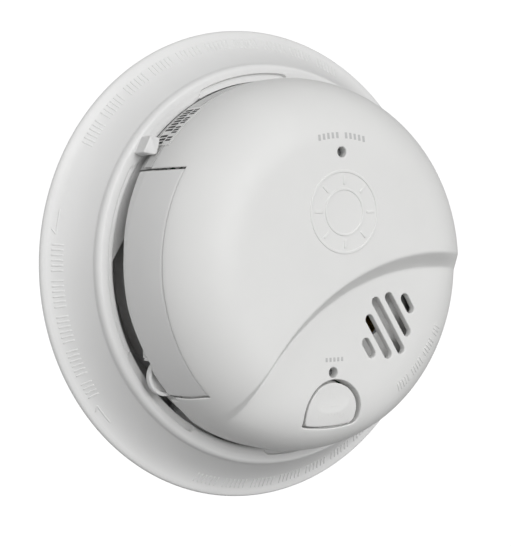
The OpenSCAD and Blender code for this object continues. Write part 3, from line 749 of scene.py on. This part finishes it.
def ribbon(path, width, surface, lift, soft=0.15, sunk=0.2):
    """A narrow raised strip along a path on a surface, closed when the path ends where it starts.

    surface(points, lift) gives the places in metres of flat points raised by lift.
    """
    path = np.asarray(path, float)
    closed = np.linalg.norm(path[0] - path[-1]) < 1e-6
    half = width / 2
    soft = min(soft, 0.45 * half)
    if closed:
        path = path[:-1]
        along = np.roll(path, -1, axis=0) - np.roll(path, 1, axis=0)
    else:
        along = np.gradient(path, axis=0)
    along /= np.linalg.norm(along, axis=1)[:, None]
    scale = np.ones(len(path))
    if not closed:
        # The two ends slope down like the sides
        start, end = path[:1], path[-1:]
        path = np.concatenate([start, start + along[:1] * soft, path[1:-1], end - along[-1:] * soft, end])
        along = np.concatenate([along[:1], along, along[-1:]])
        scale = np.concatenate([[0.45], scale, [0.45]])
    across = np.stack([-along[:, 1], along[:, 0]], 1)
    section = [(-half, -sunk), (-half, 0.5 * lift), (-half + 0.3 * soft, 0.85 * lift), (-half + soft, lift),
               (half - soft, lift), (half - 0.3 * soft, 0.85 * lift), (half, 0.5 * lift), (half, -sunk)]
    rows = [surface(path + across * offset, level * (scale if level > 0 else np.ones(len(path))))
            for offset, level in section]
    verts = np.stack(rows, 1).reshape(-1, 3)
    if closed:
        return verts, grid_faces(len(path), len(section), True, True)
    return verts, capped_faces(len(path), len(section))


def on_flange(points, lift):
    r = np.linalg.norm(points, axis=1)
    return place(*points.T, flange_h(r) + lift)


def on_face(points, lift):
    return place(*points.T, face_height(*points.T) + lift)


def on_side(points, lift):
    """Points of the alarm's upright side as [arc length, h]."""
    a = points[:, 0] / COVER_R
    r = COVER_R + lift
    return place(r * np.cos(a), r * np.sin(a), points[:, 1])


def spoke(low_r, high_r, angle, count=5):
    """Points outward from one radius to another at an angle in degrees."""
    return polar(np.linspace(low_r, high_r, count), math.radians(angle))


def tick_groups(start, end, pitch, group):
    """Places from start to end at a pitch, in groups parted by a gap."""
    angles, k, a = [], 0, start
    way = 1 if end > start else -1
    while (end - a) * way > 0:
        if k % (group + 1) < group:
            angles.append(a)
        a += way * pitch
        k += 1
    return angles


# ------------------------------------------------------------------ bracket

def flange_h(r):
    """Height of the flange's upper side: a hollow curve from the edge up to the foot of the ridge."""
    r = np.asarray(r, float)
    hollow = RIM_H + (FOOT_H - RIM_H) * (np.clip(BRACKET_R - r, 0, None) / (BRACKET_R - FOOT_R)) ** 2
    u = np.clip((r - RIDGE_R) / (FOOT_R - RIDGE_R), 0, 1)
    ridge = FOOT_H + (RIDGE_H - FOOT_H) * np.sqrt(1 - u ** 2)
    return np.where(r > FOOT_R, hollow, ridge)


def bracket_profile():
    """Section of the wall and the flange, as [radius, h], anticlockwise from the recess."""
    wall = RECESS_R + 2
    inner = [(RECESS_R + r, h) for r, h in (
        (0, PLATE_T - 0.6), (0, 12.0), (0, 14.2), (0, 15.0), (0.06, 15.4), (0.22, 15.75), (0.5, 16.05),
        (0.9, 16.25), (1.4, 16.38))]
    inner += [(RECESS_R + r, 16.38 + 0.16 * (r - 1.4)) for r in np.arange(1.55, 2.65, 0.1)]
    turn = np.radians(np.linspace(0, 90, 14))
    ridge = [(RIDGE_R + (FOOT_R - RIDGE_R) * math.sin(t), FOOT_H + (RIDGE_H - FOOT_H) * math.cos(t))
             for t in turn]
    hollow = [(r, float(flange_h(r))) for r in np.linspace(FOOT_R + 0.25, BRACKET_R - RIM_ROUND - 0.3, 40)]
    edge = [(BRACKET_R - RIM_ROUND * (1 - math.sin(t)), RIM_H - RIM_ROUND * (1 - math.cos(t)))
            for t in np.radians([15, 30, 45, 60, 75, 90])]
    edge += [(BRACKET_R - 2.1, 0.0), (BRACKET_R - 2.8, 0.0)]
    under = [(r, float(flange_h(r + 1.6)) - 1.4) for r in np.linspace(BRACKET_R - 3, wall, 20)]
    return np.array(inner + ridge + hollow + edge + under + [(wall, 0.0), (RECESS_R, 0.0)])


def notched(r, a, h, start, end, depth, reach):
    """Heights after a notch with round ends is cut into the ridge's inner edge."""
    floor_h = RIDGE_H - depth
    middle, half = (start + end) / 2, (end - start) / 2
    turn = math.degrees(reach / RECESS_R)
    away = np.abs((a - middle + 180) % 360 - 180)
    past = np.clip((away - half + turn) / turn, 0, 1)
    limit = RECESS_R + reach * np.sqrt(1 - past ** 2)
    ease = np.clip((limit - r) / 0.25, 0, 1) * (past < 1)
    return np.where((h > floor_h) & (r < FOOT_R), h - ease * (h - floor_h), h)


def make_flange():
    flange, faces = lathe(bracket_profile(), segments=720)
    x, h, z = (flange * [1, -1, 1] / MM).T
    r, a = np.hypot(x, z), np.degrees(np.arctan2(z, x)) % 360
    h = notched(r, a, h, 148.5, 206.0, 0.5, 1.9)
    for start in NOTCH_STARTS:
        h = notched(r, a, h, start, start + NOTCH_SPAN, 1.2, 2.3)
    # Along the label the inner edge leans in, so that hardly any gap is left
    lean = np.clip((14.5 - np.abs(a - LABEL_MIDDLE)) / 2, 0, 1)
    lean *= np.clip(h - 14.2, 0, 1) * np.clip(RECESS_R + 1.5 - r, 0, 1)
    shift = 1 - 0.35 * lean / r
    return place(x * shift, z * shift, h), faces


def make_post():
    """Upright post whose top falls away towards its outer side."""
    outline = np.array([(-47.6, 32.2), (-44.6, 31.2), (-43.2, 36.1), (-45.1, 37.0)])
    loop = spaced(rounded(outline, [0.35, 1.2, 0.5, 0.35], 6), 0.4)
    lean = np.radians(-28)
    inward = (loop - outline[0]) @ np.array([math.cos(lean), math.sin(lean)])
    top = np.minimum(24.0, 22.0 + 0.84 * inward)
    soft = 0.4
    rings = [place(*loop.T, 12.6)]
    for a in np.radians([0, 22.5, 45, 67.5, 90]):
        ring = grown(loop, -soft * (1 - math.cos(a)))
        rings.append(place(*ring.T, top - soft * (1 - math.sin(a))))
    return np.concatenate(rings), capped_faces(len(rings), len(loop))


def flange_marks():
    """Raised ticks and arrows along the flange's flat band, in place of lettering."""
    low, high = BRACKET_R - 5.6, BRACKET_R - 2.8
    parts = []
    for start, end in ((148, 62), (174, 213), (-110, -52)):
        for angle in tick_groups(start, end, 1.25, 6):
            parts.append(ribbon(spoke(low, high, angle), 0.5, on_flange, 0.2, 0.12))
    line = BRACKET_R - 3.6
    for tail, tip in ((165.5, 171.5), (221, 215.5)):
        parts.append(ribbon(arc(line, *sorted((tail, tip))), 0.4, on_flange, 0.2, 0.12))
        barb_end = tip + math.copysign(1.2, tail - tip)
        barb = polar(np.array([line, line + 1.3]), np.radians([tip, barb_end]))
        parts.append(ribbon(barb, 0.35, on_flange, 0.2, 0.1))
    return parts


def plate_surface(points):
    return np.column_stack([points, np.full(len(points), PLATE_T)])


def make_plate():
    """Back plate with four slots for the box's screws and an opening for the wiring."""
    centres = arc(SCREW_R, 0, 270, count=4)
    holes = [slot_outline(centre, 14.3, 4.8, 90 * k) for k, centre in enumerate(centres)]
    holes.append(circle((0, 0), WIRING_R, 160))
    return sheet_with_holes(circle((0, 0), RECESS_R + 0.05, 240), holes, plate_surface, PLATE_T, 0.3, 2.2,
                            edge_step=0.9)


def make_bracket():
    lugs = [lathe(rounded([(RECESS_R - 4.2, 9.8), (RECESS_R + 0.5, 9.8), (RECESS_R + 0.5, 11.8),
                           (RECESS_R - 4.2, 11.8)], 0.3), segments=14, start=a - 8, end=a + 8)
            for a in (0, 120, 240)]
    ribs = [box_mesh((RECESS_R + 1.5, BRACKET_R - 3.5), (-0.7, 0.7), (0, PLATE_T), 0.2, 15 + 30 * i)
            for i in range(12)]
    mesh = joined(make_flange(), make_plate(), *lugs, *ribs, make_post(), *flange_marks())
    bracket = finish_piece("bracket_body", *mesh, "bracket_plastic", "bracket", 40)
    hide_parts("mounting_bracket")


make_bracket()


# ------------------------------------------------------------------ marks on the face and the label

def make_medallion():
    """Plain round emblem: two rings and eight spokes in low relief."""
    at = np.array([0.4, 14.8])
    parts = [ribbon(arc(radius, 0, 360, at, 0.6), width, on_face, RELIEF, 0.35, 0.3)
             for radius, width in ((11.4, 0.8), (6.4, 0.7))]
    parts += [ribbon(spoke(7.6, 10.2, a) + at, 0.8, on_face, RELIEF, 0.35, 0.3) for a in range(0, 360, 45)]
    finish_piece("medallion", *joined(*parts), "cover_plastic", "alarm", 50)


def make_face_ticks():
    """Raised ticks near the lowered face's rim, in place of lettering."""
    parts = [ribbon(spoke(42.6, 45.6, a), 0.5, on_face, 0.2, 0.14) for a in tick_groups(-56, -25, 1.5, 5)]
    finish_piece("face_ticks", *joined(*parts), "cover_plastic", "alarm", 50)


def printed_row(middle, length, height, count, gap, rise=0.0):
    """Short printed strokes side by side, with a gap after some of them, on a slightly arched line."""
    pitch = length / (count - 1)
    strokes = []
    for i in range(count):
        if i == gap:
            continue
        x = middle[0] - length / 2 + pitch * i
        drop = rise * ((x - middle[0]) / (length / 2)) ** 2
        line = np.array([(x, middle[1] - height / 2 - drop), (x, middle[1] + height / 2 - drop)])
        strokes.append(ribbon(line, 0.55 * pitch, on_face, 0.03, 0.03, 0.05))
    return strokes


def make_prints():
    rows = printed_row((0.1, 36.2), 15.2, 1.7, 11, 5, 0.9) + printed_row((0.3, -26.8), 5.4, 1.2, 5, -1)
    finish_piece("printed_strokes", *joined(*rows), "cover_plastic", "alarm", 60, "print_ink")


def on_label(points, lift):
    return on_side(points, lift + 0.12)


def make_label_marks():
    """Printed strokes and a border on the label, in place of its lettering."""
    left, first, last, right = (math.radians(a) * COVER_R for a in (124.6, 125.6, 140.2, 140.6))
    border = np.stack([np.linspace(left, right, 30), np.full(30, 17.7)], 1)
    parts = [ribbon(border, 0.25, on_label, 0.02, 0.02, 0.03)]
    for middle, height, pitch, group in ((20.5, 4.0, 1.25, 8), (24.6, 2.7, 1.0, 3)):
        for s in tick_groups(first, last, pitch, group):
            line = np.array([(s, middle - height / 2), (s, middle + height / 2)])
            parts.append(ribbon(line, 0.66 * pitch, on_label, 0.02, 0.02, 0.03))
    finish_piece("label_marks", *joined(*parts), "label_film", "alarm", 60, "dark_ink")


make_medallion()
make_face_ticks()
make_prints()
make_label_marks()


# ------------------------------------------------------------------ drawer

def panel_r(h):
    """The panel is upright below, then leans in, nearly straight."""
    t = np.clip((h - PANEL_LOW_H) / (PANEL_HIGH_H - PANEL_LOW_H), 0, 1)
    return COVER_R + 0.2 - 1.9 * t - 1.5 * t * t


def panel_low(z):
    """The panel's lower edge slopes down towards its upper corner, and drops to the skirt by the tab."""
    skirt = np.clip((SKIRT_Z[1] - z) / (SKIRT_Z[1] - SKIRT_Z[0]), 0, 1)
    return np.interp(z, *zip(*PANEL_FOOT)) + (SKIRT_H - PANEL_LOW_H) * skirt


def dense_ends(end, count):
    """Shares from 0 to 1 that lie closer together near both ends."""
    middle = np.linspace(end, 1 - end, count)
    return np.concatenate([np.linspace(0, end, 5)[:-1], middle, np.linspace(1 - end, 1, 5)[1:]])


def panel_mesh():
    """Curved panel with rounded edges, as a grid of rows along z from the lower edge to the upper."""
    z, t = np.meshgrid(PANEL_Z[0] + (PANEL_Z[1] - PANEL_Z[0]) * dense_ends(0.01, 160), dense_ends(0.03, 36))
    low = panel_low(z)
    h = low + (PANEL_HIGH_H - low) * t
    z = PANEL_Z[1] + (z - PANEL_Z[1]) * (panel_end(h) - PANEL_Z[1]) / (PANEL_Z[0] - PANEL_Z[1])
    r = panel_r(h) - 0.25 * np.clip((PANEL_LOW_H - 0.1 - h), 0, 2.1) * (z < SKIRT_Z[1])
    near = np.minimum(np.minimum(z - panel_end(h), PANEL_Z[1] - z), np.minimum(h - low, PANEL_HIGH_H - h))
    soft = 0.6
    drop = soft - np.sqrt(np.maximum(soft ** 2 - np.clip(soft - near, 0, soft) ** 2, 0))
    outer, inner = r - drop, r - 1.8
    front, back = (np.stack([-np.sqrt(side ** 2 - z ** 2), z, h], -1).reshape(-1, 3)
                   for side in (outer, inner))
    return closed_shell(front, back, grid_faces(*z.shape))


def arc_angles(radius, low_z, high_z):
    """Angles of the left-hand arc of a circle between two heights z."""
    return 180 - math.degrees(math.asin(high_z / radius)), 180 + math.degrees(math.asin(-low_z / radius))


def make_tray():
    """Web behind the panel, and the tray that carries the battery."""
    a0, a1 = arc_angles(52.5, PANEL_Z[0] + 0.2, PANEL_Z[1] - 0.2)
    web = lathe([(49.5, PANEL_LOW_H + 0.1), (53.2, PANEL_LOW_H + 0.1), (53.2, PANEL_LOW_H + 1.5),
                 (49.5, PANEL_LOW_H + 1.5)], segments=60, start=a0, end=a1)
    low, high = node_span("battery")[1]
    b0, b1 = arc_angles(50.2, low - 1.4, high + 1)
    wall = lathe([(49.5, 17.3), (50.9, 17.3), (50.9, 24.4), (49.5, 24.4)], segments=60, start=b0, end=b1)
    end_x = node_span("battery")[0][1] + 0.3
    floor = box_mesh((-46.5, end_x + 0.9), (low - 1.5, high + 1), (17.3, 18.4))
    side = box_mesh((-46.5, end_x + 0.9), (low - 1.5, low - 0.4), (17.3, 24.3))
    inner = box_mesh((end_x, end_x + 0.9), (low - 1.5, high + 1), (17.3, 26.3))
    return [web, wall, floor, side, inner]


def make_tab():
    """Finger tab: a shallow round scoop, and the neck that holds it under the panel."""
    scoop = rounded([(0.01, TAB_H), (5.6, TAB_H), (5.6, TAB_H + 2), (4.5, TAB_H + 2), (4.5, TAB_H + 0.8),
                     (0.01, TAB_H + 0.8)], [0, 0.5, 0.4, 0.4, 0.5, 0])
    neck = [(0.01, TAB_H + 0.6), (1.8, TAB_H + 0.6), (1.8, TAB_H + 4.5), (0.01, TAB_H + 4.5)]
    return [lathe(scoop, (-41.2, -30.5), 96), lathe(neck, (-41, -30), 24)]


def make_drawer():
    mesh = joined(panel_mesh(), *make_tray(), *make_tab())
    drawer = finish_piece("drawer_body", *mesh, "drawer_plastic", "drawer", 40)
    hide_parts("battery_drawer")


make_drawer()


# ------------------------------------------------------------------ test button

def cap_surface(points):
    """The button's top: the face sunk a little, with a shallow round dish."""
    h = face_height(*points.T) - BUTTON_SINK
    dish = LOW_H - BUTTON_SINK - 0.5 + np.sum((points - DISH_AT) ** 2, axis=1) / (2 * DISH_R)
    return np.column_stack([points, np.minimum(h, dish)])


def on_cap(points, lift):
    return place(*points.T, cap_surface(points)[:, 2] + lift)


def cap_inward(here, normal, kind):
    return np.tile([0.0, 0.0, 1.0], (len(here), 1))


def cap_outline(inset):
    return button_outline(inset, BUTTON_CORNERS) + BUTTON_SHIFT


def cap_ring(inset, sink=None):
    """The button's outline at a depth below the face, or at the skirt's foot."""
    outline = cap_outline(inset)
    return place(*outline.T, SKIRT_FOOT_H if sink is None else face_height(*outline.T) - sink)


def cap_marks():
    """A fine line and two rows of ticks in low relief, in place of the button's words."""
    lines = [((-3.1, -40.2), (3.9, -40.2))]
    lines += [((x, -38.1), (x, -36.5)) for x in np.linspace(-0.9, 1.7, 4)]
    lines += [((x, -43.6), (x, -42.2)) for x in np.linspace(-3.9, 4.7, 9)]
    return [ribbon(np.linspace(*line, 8), 0.3, on_cap, 0.05, 0.1, 0.1) for line in lines]


def make_button():
    """Cap with a shallow round dish, on a stepped skirt and a stem."""
    cap = sheet_with_holes(cap_outline(1.1), [], cap_surface, 2.2, 0.3, 0.4, edge_step=0.3,
                           inward=cap_inward)
    under, step = BUTTON_SINK + 1.6, BUTTON_SINK + 4
    rings = [cap_ring(1.15, under), cap_ring(1.15, step), cap_ring(0.5, step), cap_ring(0.5), cap_ring(2.4),
             cap_ring(2.4, under)]
    skirt = np.concatenate(rings), grid_faces(len(rings), len(rings[0]), True, True)
    stem = rounded([(0.01, 17.2), (2.5, 17.2), (2.5, 41.2), (0.01, 41.2)], [0, 0.5, 0, 0])
    shoulders = [box_mesh((x - 1.5, x + 1.5), (-44.5, -39.5), (SKIRT_FOOT_H, 38.6), 0.2)
                 for x in (BUTTON_AT[0] - 9.3, BUTTON_AT[0] + 9.3)]
    mesh = joined(cap, skirt, lathe(stem, (0, -39.5), 48), *shoulders, *cap_marks())
    button = finish_piece("button_cap", *mesh, "button_plastic", "button", 40)
    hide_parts("test_button")


make_button()


# ------------------------------------------------------------------ everything else of the frame

for node, thing in nodes.items():
    slot_name = next(s["material_slot"] for s in frame["record"]["subparts"] if s["node"] == node)
    for material_slot in thing.material_slots:
        material_slot.material = M[slot_name]
    thing.data.set_sharp_from_angle(angle=math.radians(35))


# ------------------------------------------------------------------ stage, light and camera

def floor_paint():
    """Pale paint, lit evenly by itself so that the floor blends into the white surroundings."""
    n = Nodes("floor_paint")
    grey = (0.92, 0.92, 0.92)
    n.set(Base_Color=n.mix(n.noise(0.004, 2.0), shade(grey, 0.99), shade(grey, 1.0)), Roughness=0.8,
          Emission_Color=(1, 1, 1, 1), Emission_Strength=0.6)
    return n.material


def make_stage():
    mesh = bpy.data.meshes.new("floor")
    size = 30.0
    corners = [(x * size, y * size, 0) for x, y in ((-1, -1), (1, -1), (1, 1), (-1, 1))]
    mesh.from_pydata(corners, [], [(0, 1, 2, 3)])
    mesh.materials.append(floor_paint())
    floor = add_object("floor", mesh)
    floor.location = (0, 0, -0.45)
    floor.visible_diffuse = False
    floor.visible_glossy = False


def make_world(camera_level, light_level):
    """White surroundings: one level for what the camera sees, another for the light they give."""
    world = bpy.data.worlds.new("studio")
    bpy.context.scene.world = world
    world.use_nodes = True
    tree = world.node_tree
    tree.nodes.clear()
    path = tree.nodes.new("ShaderNodeLightPath")
    mix, out = tree.nodes.new("ShaderNodeMixShader"), tree.nodes.new("ShaderNodeOutputWorld")
    tree.links.new(path.outputs["Is Camera Ray"], mix.inputs[0])
    for socket, level in ((1, light_level), (2, camera_level)):
        background = tree.nodes.new("ShaderNodeBackground")
        background.inputs["Color"].default_value = (1, 1, 1, 1)
        background.inputs["Strength"].default_value = level
        tree.links.new(background.outputs[0], mix.inputs[socket])
    tree.links.new(mix.outputs[0], out.inputs[0])


def direction(azimuth, elevation):
    """Way to a light or the camera, from angles in degrees: azimuth 0 is in front, positive to the right."""
    a, e = math.radians(azimuth), math.radians(elevation)
    return Vector((math.sin(a) * math.cos(e), -math.cos(a) * math.cos(e), math.sin(e)))


def sun(name, azimuth, elevation, strength, softness):
    """Soft distant light."""
    data = bpy.data.lights.new(name, "SUN")
    data.energy = strength
    data.angle = math.radians(softness)
    way = direction(azimuth, elevation)
    add_object(name, data).rotation_euler = way.to_track_quat("Z", "Y").to_euler()


def make_camera():
    """A long lens at 450 mm, from the left and a little above, rolled by about a degree."""
    roll = math.radians(-0.94)
    distance, shift_right, shift_up = 450.0, -2.54, 2.96
    back = direction(-32.99, 1.4)
    right = (-back).cross(Vector((0, 0, 1))).normalized()
    up = right.cross(-back)
    cos, sin = math.cos(roll), math.sin(roll)
    right, up = cos * right + sin * up, cos * up - sin * right
    data = bpy.data.cameras.new("camera")
    data.lens = 96.2
    data.sensor_width = 36.0
    data.clip_start = 0.01
    camera = add_object("camera", data)
    spot = (-shift_right * right - shift_up * up + distance * back) * MM
    camera.matrix_world = Matrix.Translation(spot) @ Matrix((right, up, back)).transposed().to_4x4()
    bpy.context.scene.camera = camera


make_stage()
make_world(1.05, 0.29)
sun("key", 0, 20, 1.79, 40)
sun("side", -70, 20, 0.57, 40)
sun("low_fill", 70, -40, 0.62, 40)
make_camera()
bpy.context.scene.view_settings.view_transform = "Standard"
